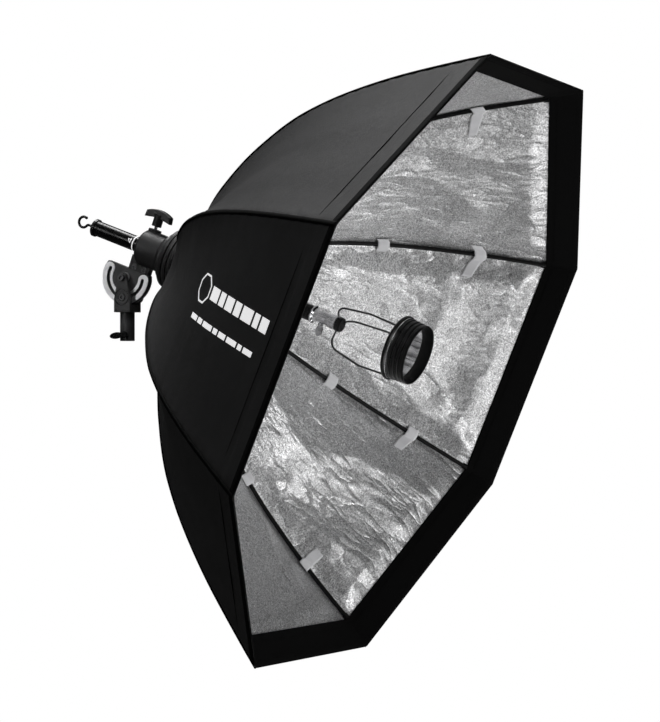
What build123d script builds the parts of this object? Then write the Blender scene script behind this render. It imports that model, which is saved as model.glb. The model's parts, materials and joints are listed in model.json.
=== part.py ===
from build123d import *
import os
from math import cos, sin, tan, radians

os.makedirs("parts", exist_ok=True)

# Indirect octabox on a tilting stand bracket, with a sliding rod that carries the lamp collar.
# Millimetres and degrees. The origin is the middle of the stand socket's mouth, +Z is up,
# the open front faces -Y and a little down, and the tilt axis is along X.

# ------------------------------------------------------------------ driving dimensions
# Softbox.
ACROSS_CORNERS = 1220.0     # 4 ft octagon, corner to corner at the front rim
SIDES = 8
DEPTH = 549.0               # swivel centre to front rim, along the softbox axis
SEAM_START = 29.6           # angle between a seam and the axis, at the rim
SEAM_TURN = 47.4            # how much further the seam has turned at its rear end
SEAM_LENGTH = 743.0         # rim to rod socket, along the seam
SEAM_ARCS = 5               # tangent arcs that follow the bent rod
PROFILE_STEPS = 15          # points along a panel's middle line
ROLL = 1.7                  # the octagon's turn about its own axis
HEAD_TILT = 20.0            # rod below horizontal at rest
DROOP = 2.2                 # the softbox sags this much on its rubber mount
FABRIC = 1.5                # outer cover
LINING = 0.6                # silver reflector
GAP = 0.2                   # between layers that lie on each other
LIP_DEPTH = 51.0            # front hem, rim to inner lip
LIP_ACROSS = 1144.0         # inner lip, corner to corner
REAR_OPENING_R = 66.0       # where the cover ends at the hub
FLEX_ROD_R = 4.0
FLEX_ROD_INSET = 9.6        # flex rod's centre line inside the seam
ROD_TIP_AT = 66.0           # flex rod's front end, along the seam from the rim
ROD_TAIL = 26.0             # flex rod's straight end inside its socket
TAB_STATIONS = (196.0, 395.0)   # loops on a flex rod, along the seam from the rim
PIPING_R = 2.2

# Stand bracket. Heights are above the socket's mouth.
SPIGOT_BORE_R = 8.15        # for a 16 mm (5/8 in) stand spigot
SOCKET_DEPTH = 46.0
TUBE_R = 13.9
TUBE_TOP = 63.5
SCREW_Z = 12.5              # stand screw
SCREW_TURN = 105.0          # stand screw points to the -X side and a little forward
STAND_SCREW_R = 3.5
SCREW_TIP = 8.7             # from the tube's axis
YOKE_FOOT = 54.5            # the yoke's lower face
PIN_R = 2.0
PIN_Z = 59.0                # roll pin through tube and yoke
BASE_TOP = 69.0             # floor of the fork
CHEEK_OUT = 20.5            # yoke half width
CHEEK_IN = 13.5
PIVOT_Z = 120.6             # tilt pivot
PIVOT_PIN_R = 4.0
LOCK_BOLT_R = 3.0
LEVER_LEAN = 12.0

# Tilting head. Lengths are from the tilt pivot, in the head's frame.
PLATE_HALF = 6.0            # tilt plate core, half thickness
PLATE_R = 50.5
PLATE_TOP = 18.5
TONGUE_HALF = 2.9
TRACK_OUT = 7.7             # outer face of the bright arc tracks
SLOT_R = 37.6               # arc slot's centre line
SLOT_HALF = 3.35
SLOT_FROM = -10.0
SLOT_TO = 190.0
FOOT_SCREWS = (12.0, 33.0)
FOOT_SCREW_Y = 26.0
FOOT_SCREW_R = 2.5
FOOT_HEAD_R = 5.4
ROD_OFFSET = 66.4           # rod axis above the pivot
SWIVEL_AHEAD = 89.0         # swivel centre ahead of the pivot, along the rod

# Clamp and swivel. Lengths are along the rod from the swivel centre.
HOUSING_R = 35.0
HOUSING_REAR = -77.0
HOUSING_FRONT = -27.0
LINER_R = 17.6
KNOB_AT = -62.0             # lock knob's axis
KNOB_SCREW_R = 3.0
PAD_TOP = 16.7
SLEEVE_R = 44.0             # fixed sleeve that the speed ring turns on
RUNNING = 0.06              # radial clearance of a running fit
BUSH_R = 47.0
SPEED_RING_R = 80.0
SPEED_RING_LOW = 45.3
SPEED_RING_HIGH = 49.6
SOCKET_R = 6.2              # tubes that hold the flex rods
SOCKET_FLOOR = 3.0

# Sliding rod and lamp collar. Lengths are along the rod from the swivel centre.
ROD_R = 14.75
ROD_REAR = -184.0
ROD_FRONT = 306.0
HOOK_R = 2.5
HUB_SCREW_R = 3.0
HUB_SCREW_AT = 327.0
HUB_WIRE_AT = 362.0         # where the cage wires leave the hub
WIRE_R = 1.9
WIRE_KNEE_R = 44.0          # where the wires turn forward
WIRE_BELLY = (57.5, 432.0)  # widest place of the cage
WIRE_BEND_R = 22.0
WIRE_END_R = 54.5
WIRE_ANGLES = (131.0, 251.0, 11.0)
RING_REAR = 484.0           # lamp collar
RING_FRONT = 529.0
HEAD_R = 50.0               # 100 mm lamp head
CLIP_ANGLE = 345.0

# Derived values.
HALF_SIDE = 180.0 / SIDES
RIM_R = ACROSS_CORNERS / 2
SLOPE = cos(radians(HALF_SIDE))     # corner radius to flat radius
LOCK_Z = PIVOT_Z - SLOT_R           # lock bolt

# ------------------------------------------------------------------ frames
def tilted(angle, origin):
    """Frame with z pointing forward and down by angle, y pointing up and x along X."""
    forward = (0, -cos(radians(angle)), -sin(radians(angle)))
    return Plane(origin=origin, x_dir=(1, 0, 0), z_dir=forward)


HEAD = tilted(HEAD_TILT, (0, 0, PIVOT_Z))
SWIVEL = HEAD.from_local_coords(Vector(0, ROD_OFFSET, SWIVEL_AHEAD))
ROD = tilted(HEAD_TILT, SWIVEL)
SOFT = tilted(HEAD_TILT + DROOP, SWIVEL)
ROW = Plane.XY


def save(name, shape, frame=ROW):
    """Move a shape from its own frame to the row's and write it as one node."""
    export_step(shape.moved(frame.location), f"parts/{name}.step")


def seam_angle(k):
    return HALF_SIDE + 2 * HALF_SIDE * k - ROLL


# ------------------------------------------------------------------ small builders
def turned(points):
    """Solid of revolution about Z from a closed outline of (radius, height)."""
    outline = Polyline(*[(r, 0, z) for r, z in points], close=True)
    return revolve(make_face(outline), axis=Axis.Z)


def tube(r_out, r_in, low, high):
    return turned([(r_in, low), (r_out, low), (r_out, high), (r_in, high)])


def rod_x(r, low, high, y=0.0, z=0.0):
    """Round bar along X."""
    bar = Cylinder(r, high - low, align=(Align.CENTER, Align.CENTER, Align.MIN))
    return Pos(low, y, z) * Rot(0, 90, 0) * bar


def rod_z(r, low, high, x=0.0, y=0.0):
    """Round bar along Z."""
    return Pos(x, y, low) * Cylinder(r, high - low, align=(Align.CENTER, Align.CENTER, Align.MIN))


def rod_y(r, low, high, x=0.0, z=0.0):
    """Round bar along Y."""
    bar = Cylinder(r, high - low, align=(Align.CENTER, Align.CENTER, Align.MIN))
    return Pos(x, low, z) * Rot(-90, 0, 0) * bar


def hex_x(across, low, high, y=0.0, z=0.0):
    """Hexagonal bar along X, given across its flats."""
    section = Plane.YZ.offset(low) * Pos(y, z) * RegularPolygon(across / 2, 6, major_radius=False)
    return extrude(section, high - low, dir=(1, 0, 0))


def block(x0, x1, y0, y1, z0, z1):
    return Pos((x0 + x1) / 2, (y0 + y1) / 2, (z0 + z1) / 2) * Box(x1 - x0, y1 - y0, z1 - z0)


def spade_screw(shank_r, shank_length, leaf_length, leaf_width):
    """Thumb screw along +Z: tip at 0, boss at shank_length, then a flat leaf in line with it."""
    boss_top = shank_length + 4.0
    shank = rod_z(shank_r, 0, shank_length)
    boss = rod_z(shank_r + 2.2, shank_length, boss_top)
    leaf = Pos(0, 0, boss_top + leaf_length / 2 - 1) * Rot(0, 90, 0) * extrude(
        Ellipse(leaf_length / 2, leaf_width / 2), 1.8, both=True)
    return shank + boss + leaf


# ------------------------------------------------------------------ stand bracket
def stand_tube():
    """Socket for the stand's spigot, with a threaded side boss for its screw."""
    body = turned([(0, SOCKET_DEPTH), (SPIGOT_BORE_R, SOCKET_DEPTH), (SPIGOT_BORE_R, 0), (TUBE_R - 0.8, 0),
                   (TUBE_R, 0.8), (TUBE_R, TUBE_TOP), (0, TUBE_TOP)])
    boss = Pos(0, 0, SCREW_Z) * Rot(0, 0, SCREW_TURN) * rod_y(6.5, SPIGOT_BORE_R + 1, TUBE_R + 2)
    hole = Pos(0, 0, SCREW_Z) * Rot(0, 0, SCREW_TURN) * rod_y(STAND_SCREW_R + 0.05, 0, 30)
    return body + boss - hole - rod_y(PIN_R + 0.02, -20, 20, z=PIN_Z)


def stand_screw():
    """Screw with a one-sided paddle that stands out sideways from its head."""
    head_low = TUBE_R + 2.3 - SCREW_TIP
    screw = rod_z(STAND_SCREW_R, 0, head_low) + rod_z(5.7, head_low, head_low + 5.0)
    paddle = Pos(16.5, 0, head_low + 0.8) * extrude(Ellipse(13.0, 6.2), 3.6)
    screw += Rot(0, 0, 7.6) * fillet(paddle.edges(), 1.2)
    return Pos(0, 0, SCREW_Z) * Rot(0, 0, SCREW_TURN) * Pos(0, SCREW_TIP, 0) * Rot(-90, 0, 0) * screw


def cheek_outline():
    """Yoke cheek in the YZ plane: straight foot, then a taper to a rounded top."""
    half = 17.8
    shoulder = 80.0
    top_r = 9.3
    foot = make_face(Polyline((-half, YOKE_FOOT), (half, YOKE_FOOT), (half, shoulder),
                              (top_r, PIVOT_Z), (-top_r, PIVOT_Z), (-half, shoulder), close=True))
    return foot + Pos(0, PIVOT_Z) * Circle(top_r)


def yoke():
    """One-piece fork: base block round the tube and two cheeks."""
    cheeks = extrude(Plane.YZ * cheek_outline(), CHEEK_OUT, both=True)
    cheeks = fillet(cheeks.edges().filter_by(Plane.YZ), 1.2)
    gap = block(-CHEEK_IN, CHEEK_IN, -60, 60, BASE_TOP, PIVOT_Z + 30)
    fork = cheeks - gap
    fork -= rod_z(TUBE_R + 0.05, 0, TUBE_TOP + 0.05)
    fork -= rod_x(PIVOT_PIN_R + 0.05, -40, 40, z=PIVOT_Z)
    fork -= rod_x(LOCK_BOLT_R + 0.1, -40, 40, z=LOCK_Z)
    fork -= rod_x(7.6, -CHEEK_OUT - 1, -CHEEK_OUT + 4, z=LOCK_Z)
    ring = rod_x(15.4, -CHEEK_OUT - 1, -CHEEK_OUT + 1.4, z=LOCK_Z)
    ring -= rod_x(13.8, -CHEEK_OUT - 1, -CHEEK_OUT + 1.4, z=LOCK_Z)
    step = block(-CHEEK_OUT - 1, -CHEEK_OUT + 1.2, -14.5, 14.5, YOKE_FOOT + 3.2, YOKE_FOOT + 4.8)
    return fork - ring - step - rod_y(PIN_R + 0.02, -40, 40, z=PIN_Z)


def tube_pin():
    """Roll pin that locks the tube in the yoke, across Y."""
    return rod_y(PIN_R, -17.6, 17.6, z=PIN_Z)


def pivot_bolt():
    shank = rod_x(PIVOT_PIN_R, -CHEEK_OUT, 29)
    head = rod_x(6.5, -CHEEK_OUT - 5, -CHEEK_OUT) - hex_x(5.0, -CHEEK_OUT - 5.1, -CHEEK_OUT - 2)
    return Pos(0, 0, PIVOT_Z) * (shank + head)


def pivot_nut():
    nut = hex_x(13.0, CHEEK_OUT + 0.05, CHEEK_OUT + 7.5) - rod_x(PIVOT_PIN_R + 0.02, 0, 40)
    return Pos(0, 0, PIVOT_Z) * nut


def friction_washers():
    """Washers either side of the tilt plate, on the pivot bolt and on the lock bolt."""
    group = []
    for bolt_r, r_out, z in ((PIVOT_PIN_R, 9.5, PIVOT_Z), (LOCK_BOLT_R, 8.5, LOCK_Z)):
        for side in (-1, 1):
            low, high = sorted((side * (TRACK_OUT + 0.1), side * (CHEEK_IN - 0.05)))
            group.append(rod_x(r_out, low, high, z=z) - rod_x(bolt_r + 0.1, low, high, z=z))
    return Compound(children=group)


def lock_bolt():
    """Socket-head bolt held in the near cheek, through the arc slot to the lever."""
    seat = -CHEEK_OUT + 3.95
    head = rod_x(6.6, -CHEEK_OUT - 0.6, seat) - hex_x(6.0, -CHEEK_OUT - 0.7, -CHEEK_OUT + 2.4)
    return Pos(0, 0, LOCK_Z) * (head + rod_x(LOCK_BOLT_R, seat, 36))


def lock_lever_hub():
    """Threaded metal insert that the lever turns."""
    hub = turned([(LOCK_BOLT_R + RUNNING, 0), (8.5, 0), (8.5, 5), (6.5, 5), (6.5, 19),
                  (LOCK_BOLT_R + RUNNING, 19)])
    return Pos(CHEEK_OUT + 0.3, 0, LOCK_Z) * Rot(0, 90, 0) * hub


def lock_lever():
    """Ratchet lever on the far side of the yoke, pointing up."""
    low = CHEEK_OUT + 6.0
    cap = rod_x(10.5, low, low + 16) - rod_x(6.55, low - 1, low + 13.6)
    arm = Pos(low + 11, 0, 23) * Box(8.5, 12.5, 34)
    tip = rod_x(7.0, low + 6.75, low + 15.25, z=41)
    lever = cap + (arm + tip - rod_x(10, low - 1, low + 20))
    return Pos(0, 0, LOCK_Z) * Rot(LEVER_LEAN, 0, 0) * lever


# ------------------------------------------------------------------ tilting head
def polar(radius, angle):
    """Point in the head frame's (height, forward) plane; 0 is forward and 90 is down."""
    return (-radius * sin(radians(angle)), radius * cos(radians(angle)))


def arc_band(r_in, r_out, low, high):
    """Round-ended arc band about the pivot, a slab across X between low and high."""
    middle = (r_in + r_out) / 2
    start = polar(middle, SLOT_FROM)
    halfway = polar(middle, (SLOT_FROM + SLOT_TO) / 2)
    end = polar(middle, SLOT_TO)
    spine = ThreePointArc(start, halfway, end)
    band = trace(spine, r_out - r_in)
    band += Pos(*start) * Circle((r_out - r_in) / 2)
    band += Pos(*end) * Circle((r_out - r_in) / 2)
    slab = extrude(band, high - low)
    return slab.moved(Location(Plane(origin=(low, 0, 0), x_dir=(0, 1, 0), z_dir=(1, 0, 0))))


def tilt_plate():
    """Half-round plate below the clamp housing, with the long arc slot."""
    disc = rod_x(PLATE_R, -PLATE_HALF, PLATE_HALF)
    disc -= block(-20, 20, PLATE_TOP, 80, -80, 80)
    tongue = block(-TONGUE_HALF, TONGUE_HALF, PLATE_TOP - 1, 30.5, 2, 42)
    plate = disc + tongue
    plate -= rod_x(PIVOT_PIN_R + RUNNING, -20, 20)
    plate -= arc_band(SLOT_R - SLOT_HALF, SLOT_R + SLOT_HALF, -20, 20)
    for z in FOOT_SCREWS:
        plate -= rod_x(FOOT_SCREW_R + 0.05, -20, 20, y=FOOT_SCREW_Y, z=z)
    return plate


def arc_tracks():
    """Bright metal tracks on both faces of the tilt plate."""
    pair = []
    for low, high in ((-TRACK_OUT, -PLATE_HALF), (PLATE_HALF, TRACK_OUT)):
        track = arc_band(28.5, PLATE_R - 0.2, low, high)
        pair.append(track - arc_band(SLOT_R - SLOT_HALF, SLOT_R + SLOT_HALF, low - 1, high + 1))
    return Compound(children=pair)


def clamp_housing():
    """Round clamp body with its foot; the rod slides through it."""
    rear = SWIVEL_AHEAD + HOUSING_REAR
    front = SWIVEL_AHEAD + HOUSING_FRONT
    barrel = rod_z(HOUSING_R, rear, front)
    barrel = fillet(barrel.edges().group_by(Axis.Z)[0], 8)
    barrel = Pos(0, ROD_OFFSET, 0) * barrel
    foot = block(-TRACK_OUT, TRACK_OUT, PLATE_TOP + 0.1, ROD_OFFSET - 20, 0, 44)
    boss = rod_y(12.5, ROD_OFFSET + 25, ROD_OFFSET + HOUSING_R + 3, z=SWIVEL_AHEAD + KNOB_AT)
    body = barrel + foot + boss
    body -= Pos(0, ROD_OFFSET, 0) * rod_z(LINER_R + 0.02, rear - 1, front + 1)
    body -= rod_y(KNOB_SCREW_R + 0.05, ROD_OFFSET, ROD_OFFSET + 60, z=SWIVEL_AHEAD + KNOB_AT)
    body -= block(-TONGUE_HALF - 0.1, TONGUE_HALF + 0.1, 0, 30.6, -5, 42.1)
    for z in FOOT_SCREWS:
        body -= rod_x(FOOT_SCREW_R + 0.05, -20, 20, y=FOOT_SCREW_Y, z=z)
        body -= rod_x(FOOT_HEAD_R + 0.7, -TRACK_OUT - 1, -TRACK_OUT + 3, y=FOOT_SCREW_Y, z=z)
    return body


def foot_screws():
    """Two socket-head screws with nuts that join the foot to the plate's tongue."""
    group = []
    for z in FOOT_SCREWS:
        screw = rod_x(FOOT_SCREW_R, -TRACK_OUT + 2.95, TRACK_OUT + 4, y=FOOT_SCREW_Y, z=z)
        screw += rod_x(FOOT_HEAD_R, -TRACK_OUT - 0.6, -TRACK_OUT + 2.95, y=FOOT_SCREW_Y, z=z)
        screw -= hex_x(4.6, -TRACK_OUT - 0.7, -TRACK_OUT + 1.6, y=FOOT_SCREW_Y, z=z)
        nut = hex_x(8.0, TRACK_OUT + 0.05, TRACK_OUT + 3.9, y=FOOT_SCREW_Y, z=z)
        group += [screw, nut - rod_x(FOOT_SCREW_R + 0.02, 0, 20, y=FOOT_SCREW_Y, z=z)]
    return Compound(children=group)


def clamp_liner():
    """Plastic bush that the rod slides in, open above for the clamp pad."""
    liner = tube(LINER_R, ROD_R + 0.08, HOUSING_REAR + 1, HOUSING_FRONT - 1)
    return liner - rod_y(5.1, 0, 30, z=KNOB_AT)


def clamp_pad():
    """Brass pad between the knob's screw and the rod."""
    pad = rod_y(5.0, 10, PAD_TOP, z=KNOB_AT)
    return pad - rod_z(ROD_R + 0.1, KNOB_AT - 10, KNOB_AT + 10)


def rubber_collar():
    """Flared rubber mount behind the speed ring, with three ridges."""
    half = 3.6
    rear = HOUSING_FRONT + 0.1
    outline = [(46.5, 20), (46.5, -16), (22, rear), (35, rear), (37.5, -22), (43, -14), (52, -6.5)]
    for centre in (-2, 8, 18):
        outline += [(57, centre - half), (58, centre), (57, centre + half), (51.5, centre + 5)]
    outline[-1] = (53.2, 18 + half)
    outline.append((53.2, 20))
    return turned(outline)


def bearing_sleeve():
    """Fixed tube that the speed ring turns on, with a shoulder behind it."""
    return turned([(24, -12), (SLEEVE_R, -12), (SLEEVE_R, 22), (51, 22), (51, 25.6), (SLEEVE_R, 25.6),
                   (SLEEVE_R, 55), (39, 55), (39, -6), (24, -6)])


def retaining_ring():
    """Snap ring in front of the speed ring."""
    return tube(50.0, SLEEVE_R + 0.03, 50.0, 52.6)


def knob_screw():
    """Bright screw that presses the pad on the rod, along +Y of the rod frame."""
    return rod_y(KNOB_SCREW_R, PAD_TOP + 0.1, 56, z=KNOB_AT)


def knob_handle():
    """Moulded T handle: a bowed bar on a round hub."""
    half = 28.5
    bow = [(-half, 57.0), (-half + 1.5, 69.5), (0, 76.5), (half - 1.5, 69.5), (half, 57.0)]
    top = ThreePointArc(bow[1], bow[2], bow[3])
    low = Polyline(bow[3], bow[4], (9, 60.5), (-9, 60.5), bow[0], bow[1])
    bar = extrude(make_face([top, low]), 6.5, both=True)
    bar = fillet(bar.edges().filter_by(Plane.XY), 1.6)
    bar = bar.moved(Location(Plane(origin=(0, 0, KNOB_AT), x_dir=(0, 0, 1), z_dir=(-1, 0, 0))))
    hub = rod_y(9.4, 45.0, 68, z=KNOB_AT)
    return bar + hub - rod_y(KNOB_SCREW_R + 0.01, 40, 56.05, z=KNOB_AT)


# ------------------------------------------------------------------ sliding rod and lamp collar
def rod_tube():
    return tube(ROD_R, 12.5, ROD_REAR, ROD_FRONT)


def rod_end_cap():
    cap = turned([(0, -190), (16, -190), (17, -189), (17, ROD_REAR - 0.05), (12.4, ROD_REAR - 0.05),
                  (12.4, -170), (0, -170)])
    cap -= rod_z(HOOK_R + 0.08, -200, -160)
    for x in (-9, 9):
        cap -= rod_z(1.55, -191, -180, x=x)
    return cap


def end_cap_screws():
    pair = []
    for x in (-9, 9):
        screw = rod_z(1.5, -190.05, -181, x=x) + rod_z(2.8, -192.4, -190.05, x=x)
        pair.append(screw - rod_z(1.3, -192.5, -191, x=x))
    return Compound(children=pair)


def rod_hook():
    """Open wire hook on a swivelling shank at the rod's rear end."""
    bend_r = 10.2
    shank = Line((0, -170.3), (0, -203))
    lead = JernArc((0, -203), (0, -1), 6.0, 62)
    loop = JernArc(lead @ 1, lead % 1, bend_r, -262)
    path = Wire([shank, lead, loop])
    section = Plane(origin=path @ 0, z_dir=path % 0) * Circle(HOOK_R)
    wire = sweep(section, path=path)
    wire += Pos(*(loop @ 1)) * Sphere(HOOK_R + 0.4)
    wire = wire.moved(Location(Plane(origin=(0, 0, 0), x_dir=(0, -1, 0), z_dir=(-1, 0, 0))))
    collar = rod_z(4.4, -194.2, -190.6)
    return wire + collar


def hook_nut():
    return rod_z(5.0, -169.7, -165) - rod_z(HOOK_R + 0.02, -171, -160)


def cage_hub():
    """Polished spool at the rod's front end."""
    spool = turned([(0, 288), (12.45, 288), (12.45, 306.1), (16.5, 306.1), (17.2, 307.5), (16.5, 309.5),
                    (12.5, 311), (10.5, 316), (10.5, 338), (13.0, 344), (13.6, 350), (13.0, 356.8),
                    (0, 356.8)])
    return spool - rod_y(HUB_SCREW_R + 0.05, -30, 0, z=HUB_SCREW_AT)


def hub_screw():
    """Leaf screw under the spool; it locks the cage to the rod."""
    screw = spade_screw(HUB_SCREW_R, 9.5, 21.0, 13.0)
    return Pos(0, -1.5, HUB_SCREW_AT) * Rot(90, 0, 0) * screw


def cage_wire(angle, radius):
    """One bent wire: out of the hub, round a bend, then forward to the lamp collar."""
    knee = (WIRE_KNEE_R, HUB_WIRE_AT)
    path = FilletPolyline((7.5, HUB_WIRE_AT), knee, WIRE_BELLY, (WIRE_END_R, RING_REAR + 5), radius=WIRE_BEND_R)
    path = Plane.XZ * path
    section = Plane(origin=path @ 0, z_dir=path % 0) * Circle(radius)
    return Rot(0, 0, angle) * sweep(section, path=path)


def cage_wires():
    return Compound(children=[cage_wire(angle, WIRE_R) for angle in WIRE_ANGLES])


def wire_nut():
    """Black nut that holds the three wires at the hub."""
    nut = turned([(0, 356.9), (12, 356.9), (14, 358.5), (14, 366), (12.5, 368.5), (0, 368.5)])
    for angle in WIRE_ANGLES:
        nut -= cage_wire(angle, WIRE_R + 0.1)
    return nut


def rear_bumper():
    """Rubber ring at the back of the lamp collar."""
    ring = turned([(52.2, RING_REAR), (57.5, RING_REAR), (60, 485.8), (60.8, 488), (60.2, 490.6), (58.5, 492.2),
                   (52.2, 492.2)])
    for angle in WIRE_ANGLES:
        ring -= cage_wire(angle, WIRE_R + 0.1)
    return ring


def adapter_ring():
    """Metal ring inside the lamp collar, with a thin flange that shows outside."""
    return turned([(HEAD_R, 484.6), (52.1, 484.6), (52.1, 492.4), (58.4, 492.4), (58.4, 494.4),
                   (52.1, 494.4), (52.1, 507), (HEAD_R, 507)])


def lamp_collar():
    """Grooved rubber collar that grips the lamp head."""
    return turned([(52.2, 494.6), (56.6, 494.6), (57.4, 496.5), (57.4, 499.5), (55.2, 500.5), (55.2, 503),
                   (56.8, 504), (56.8, 508.5), (54.6, 509.5), (54.6, 512), (56.2, 513), (56.2, 516.5),
                   (54.2, 517.5), (54.2, 519.5), (55.6, 521), (56.0, 526), (54.8, RING_FRONT), (52.6, RING_FRONT),
                   (51.4, 526), (HEAD_R, 514), (HEAD_R, 507.1), (52.2, 507.1)])


def collar_clip():
    """Small wire bail of the collar's clamping band."""
    path = FilletPolyline((57.0, 500, 6), (62, 503, 6), (61.5, 525, 6), (61.5, 525, -6), (62, 503, -6),
                          (57.0, 500, -6), radius=2.4)
    path = Rot(90, 0, 0) * path
    section = Plane(origin=path @ 0, z_dir=path % 0) * Circle(1.1)
    return Rot(0, 0, CLIP_ANGLE) * sweep(section, path=path)


# ------------------------------------------------------------------ softbox
def seam_heading(s):
    """Angle between the seam and the axis, s along it from the rim: steady within each arc."""
    place = s / SEAM_LENGTH * SEAM_ARCS
    arc = min(int(place), SEAM_ARCS - 1)
    low = (arc / SEAM_ARCS) ** 2
    high = ((arc + 1) / SEAM_ARCS) ** 2
    return SEAM_START + SEAM_TURN * (low + (high - low) * (place - arc))


def seam_point(s):
    """Corner radius and forward distance of the seam, s along it from the rim."""
    steps = 60
    r, z = RIM_R, DEPTH
    for i in range(steps):
        heading = radians(seam_heading(s * (i + 0.5) / steps))
        r -= sin(heading) * s / steps
        z -= cos(heading) * s / steps
    return r, z


def seam_path(inset, skip, tail):
    """Chain of tangent arcs parallel to the seam, from near the rim to the hub, in (r, z)."""
    span = SEAM_LENGTH / SEAM_ARCS
    heading = radians(seam_heading(skip))
    r, z = seam_point(skip)
    start = (r - inset * cos(heading), z + inset * sin(heading))
    direction = (-sin(heading), -cos(heading))
    pieces = []
    for i in range(SEAM_ARCS):
        turn = seam_heading(span * (i + 1)) - seam_heading(span * i)
        radius = span / radians(turn) - inset
        used = turn if i else turn * (1 - skip / span)
        pieces.append(JernArc(start, direction, radius, -used))
        start, direction = pieces[-1] @ 1, pieces[-1] % 1
    pieces.append(Line(start, start + direction * tail))
    return Wire(pieces)


def along_seam(k, radius, inset, skip, tail):
    """Round rod that follows seam k."""
    path = Plane.XZ * seam_path(inset, skip, tail)
    section = Plane(origin=path @ 0, z_dir=path % 0) * Circle(radius)
    return Rot(0, 0, seam_angle(k)) * sweep(section, path=path)


def gore_line(inset, s_from):
    """Points of a gore's middle line, inset from the outer face, ending at the hub."""
    points = []
    for i in range(PROFILE_STEPS + 1):
        s = s_from + (SEAM_LENGTH - s_from) * i / PROFILE_STEPS
        r, z = seam_point(s)
        heading = radians(seam_heading(s))
        across = Vector(-cos(heading), sin(heading) * SLOPE).normalized()
        points.append(Vector(r * SLOPE, z) + across * inset)
    last = Vector(points[-1])
    step = (last - points[-2]).normalized()
    tail = (last.X - REAR_OPENING_R) / -step.X
    points.append(last + step * tail)
    return points


def gore_sheet(k, outer, inner, s_from):
    """One side of the tent: a sheet curved along its length and straight across."""
    near = gore_line(outer, s_from)
    far = gore_line(inner, s_from)
    edges = [Spline(*near), Line(near[-1], far[-1]), Spline(*far), Line(far[0], near[0])]
    profile = Plane.XZ * make_face(edges)
    sheet = extrude(profile, RIM_R, both=True, dir=(0, 1, 0))
    reach = RIM_R * 1.1
    side = reach * tan(radians(HALF_SIDE)) - GAP / 2
    wedge = extrude(make_face(Polyline((0, 0), (reach, side), (reach, -side), close=True)), 2 * DEPTH)
    return Rot(0, 0, seam_angle(k) + HALF_SIDE) * (sheet & wedge)


def cover_panel(k):
    """One outer panel of the black cover, rim to hub."""
    return gore_sheet(k, 0, FABRIC, 0)


def silver_lining():
    """Eight reflector panels just inside the cover, from the hem to the hub."""
    outer = FABRIC + GAP
    return Compound(children=[gore_sheet(k, outer, outer + LINING, LIP_DEPTH * 1.2) for k in range(SIDES)])


def hem_section(k, points):
    """One side of the front hem from an outline of (corner radius, depth behind the rim)."""
    outline = [(r * SLOPE, DEPTH - d) for r, d in points]
    profile = Plane.XZ * make_face(Polyline(*outline, close=True))
    bar = extrude(profile, RIM_R, both=True, dir=(0, 1, 0))
    reach = RIM_R * 1.1
    side = reach * tan(radians(HALF_SIDE)) - GAP / 2
    wedge = extrude(make_face(Polyline((0, 0), (reach, side), (reach, -side), close=True)), 2 * DEPTH)
    return Rot(0, 0, seam_angle(k) + HALF_SIDE) * (bar & wedge)


def front_hem():
    """Black hem inside the rim: eight lengths of folded fabric, wedge-shaped in section."""
    lip = LIP_ACROSS / 2
    wall = RIM_R - (FABRIC + GAP) / cos(radians(SEAM_START)) / SLOPE - 0.4
    drop = LIP_DEPTH * tan(radians(SEAM_START + 0.4))
    points = [(wall, 0.4), (wall - drop, LIP_DEPTH), (lip, LIP_DEPTH), (lip + 1, LIP_DEPTH - 3), (wall - 2, 0.4)]
    return Compound(children=[hem_section(k, points) for k in range(SIDES)])


def grip_strip():
    """Loop tape on the hem's inner face, for a front diffuser."""
    lip = LIP_ACROSS / 2
    rim = RIM_R - 5.0
    slope = (rim - lip) / LIP_DEPTH
    points = []
    for depth, lift in ((8, 0.6), (38, 0.6), (38, 1.8), (8, 1.8)):
        points.append((rim - slope * depth - lift, depth))
    return Compound(children=[hem_section(k, points) for k in range(SIDES)])


def flex_rod(k):
    """Springy rod, bent along seam k."""
    return along_seam(k, FLEX_ROD_R, FLEX_ROD_INSET, ROD_TIP_AT, ROD_TAIL)


def seam_piping():
    """Corded binding on the outside of the eight seams."""
    return Compound(children=[along_seam(k, PIPING_R, -PIPING_R - 0.3, 0.0, 20.0) for k in range(SIDES)])


def rod_station(k, s, inset):
    """Plane on flex rod k at distance s from the rim: x across the seam, z to the inside."""
    r, z = seam_point(s)
    heading = radians(seam_heading(s))
    r -= inset * cos(heading)
    z += inset * sin(heading)
    inward = Vector(-cos(heading), 0, sin(heading))
    plane = Plane(origin=(r, 0, z), x_dir=(0, 1, 0), z_dir=inward)
    return Rot(0, 0, seam_angle(k)) * Location(plane)


def rod_tips():
    """Caps sewn behind the hem that hold the rods' front ends."""
    caps = []
    for k in range(SIDES):
        cap = rod_y(FLEX_ROD_R + 1.6, -1.6, 8) - rod_y(FLEX_ROD_R + 0.1, -0.1, 9)
        caps.append(rod_station(k, ROD_TIP_AT, FLEX_ROD_INSET) * cap)
    return Compound(children=caps)


def rod_tabs():
    """Silver loops that hold each rod to the lining."""
    tabs = []
    for k in range(SIDES):
        for s in TAB_STATIONS:
            tab = rod_station(k, s, FLEX_ROD_INSET + FLEX_ROD_R + 0.9) * Box(46, 24, 1.0)
            tabs.append(tab)
    return Compound(children=tabs)


def speed_ring():
    """Aluminium ring that turns on the sleeve; the rod sockets stand on it."""
    ring = turned([(BUSH_R + 0.03, 26), (52.5, 26), (52.5, SPEED_RING_LOW), (SPEED_RING_R, SPEED_RING_LOW),
                   (SPEED_RING_R, SPEED_RING_HIGH), (BUSH_R + 0.03, SPEED_RING_HIGH)])
    slot = rod_z(SOCKET_R + 0.05, -SOCKET_FLOOR - 0.05, 40)
    return ring - [socket_axis(k) * slot for k in range(SIDES)]


def ring_bush():
    """Plastic bush between the speed ring and the sleeve."""
    return tube(BUSH_R, SLEEVE_R + RUNNING, 26.2, 49.4)


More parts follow.
